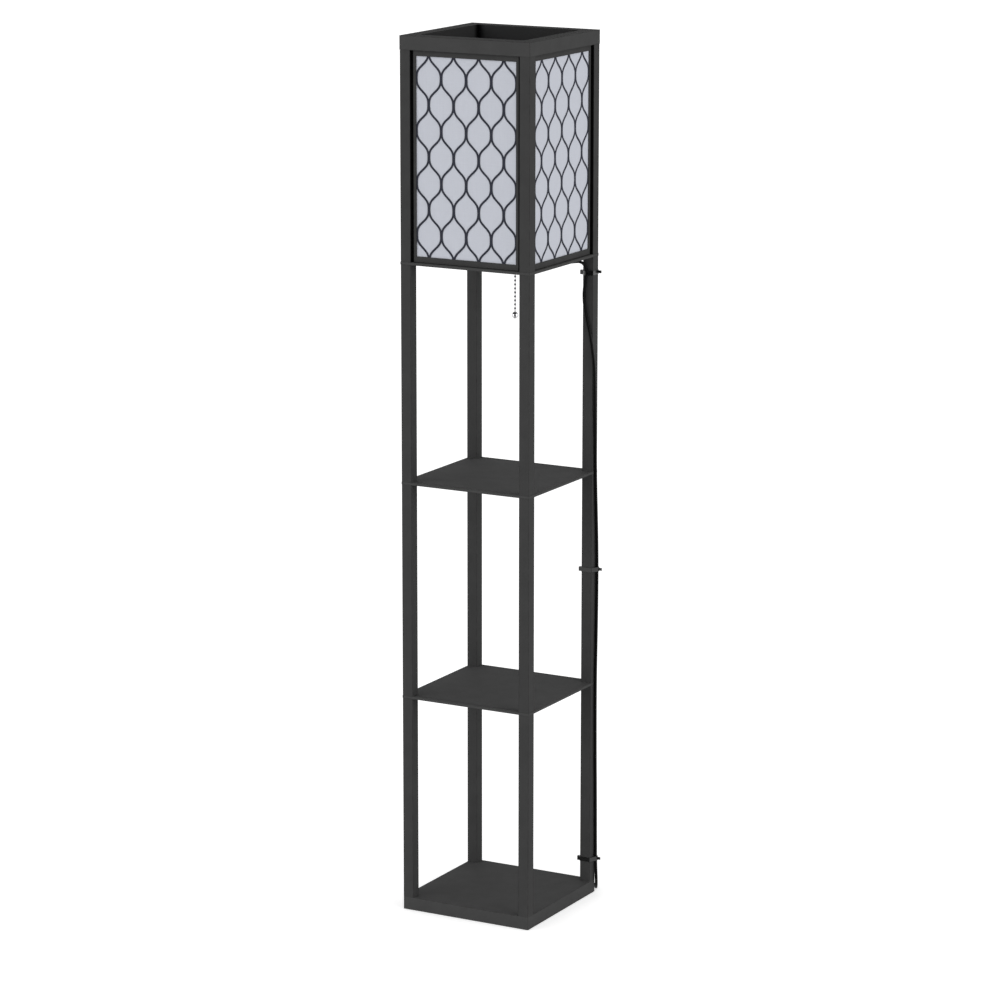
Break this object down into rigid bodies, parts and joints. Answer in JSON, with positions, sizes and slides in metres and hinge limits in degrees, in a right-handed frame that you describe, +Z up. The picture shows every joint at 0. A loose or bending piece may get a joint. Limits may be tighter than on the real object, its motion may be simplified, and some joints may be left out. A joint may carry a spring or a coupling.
{
  "type": "shelf floor lamp",
  "caption": "Square black floor lamp with two open shelves between posts and a fabric shade with an ogee lattice, switched by a pull chain.",
  "frame": {"origin": "on the floor, under the centre of the square base", "axes": "+Z up; the front is -Y; +X to the right, the cord runs down the post at +X +Y"},
  "size_m": [0.279, 0.2983, 1.6],
  "materials": {
    "board": "black foil over fibreboard, satin",
    "post": "black foil over fibreboard, satin",
    "felt": "matt foam",
    "steel": "zinc plated",
    "dowel": "plain beech",
    "strip": "satin",
    "sheet": "white linen laminate, printed with a grey ogee lattice",
    "channel": "matt",
    "black_metal": "satin black",
    "black_plastic": "matt",
    "brass": "plain",
    "porcelain": "glazed",
    "aluminium": "plain",
    "white_plastic": "satin",
    "diffuser": "frosted",
    "chrome": "polished",
    "cord": "satin",
    "tie": "smooth",
    "nickel": "nickel plated"
  },
  "bodies": {
    "frame": {"base_board": "board", "foot_pads": "felt", "base_screws": "steel", "post_lower_front_left": "post", "post_lower_front_right": "post", "post_lower_rear_right": "post", "post_lower_rear_left": "post", "post_middle_front_left": "post", "post_middle_front_right": "post", "post_middle_rear_right": "post", "post_middle_rear_left": "post", "post_upper_front_left": "post", "post_upper_front_right": "post", "post_upper_rear_right": "post", "post_upper_rear_left": "post", "post_shade_front_left": "post", "post_shade_front_right": "post", "post_shade_rear_right": "post", "post_shade_rear_left": "post", "lower_shelf": "board", "upper_shelf": "board", "shade_floor": "board", "lower_studs": "steel", "upper_studs": "steel", "shade_studs": "steel", "cap_dowels": "dowel", "cap_rail_front": "post", "cap_rail_right": "post", "cap_rail_rear": "post", "cap_rail_left": "post", "panel_strips_front": "strip", "panel_strips_right": "strip", "panel_strips_rear": "strip", "panel_strips_left": "strip", "panel_sheet_front": "sheet", "panel_sheet_right": "sheet", "panel_sheet_rear": "sheet", "panel_sheet_left": "sheet", "panel_channels": "channel", "nipple": "steel", "nipple_nuts": "steel", "wiring_cup": "black_metal", "cup_screws": "steel", "cord_grip": "black_plastic", "holder_shell": "brass", "holder_core": "porcelain", "holder_sleeve": "brass", "holder_contact": "brass", "cord_run": "cord", "cord_hank": "cord", "cord_tail": "cord", "cord_ties": "tie", "plug_body": "black_plastic", "plug_pins": "nickel"},
    "pull": {"pull_stop": "chrome"},
    "hung_chain": {"pull_chain": "chrome", "pull_ball": "chrome"},
    "bulb": {"bulb_cap": "aluminium", "bulb_housing": "white_plastic", "bulb_globe": "diffuser"}
  },
  "joints": [
    {"name": "chain_pull", "type": "slide", "parent": "frame", "child": "pull", "axis": [0, 0, -1], "range_m": [0, 0.01], "stiffness_N_per_m": 300, "springref_m": -0.003},
    {"name": "chain_swing", "type": "hinge", "parent": "pull", "child": "hung_chain", "pos_m": [0.0304, 0, 1.1929], "axis": [1, 0, 0], "range_deg": [-25, 25]},
    {"name": "bulb_lift", "type": "slide", "parent": "frame", "child": "bulb", "axis": [0, 0, 1], "range_m": [0, 0.4]}
  ]
}
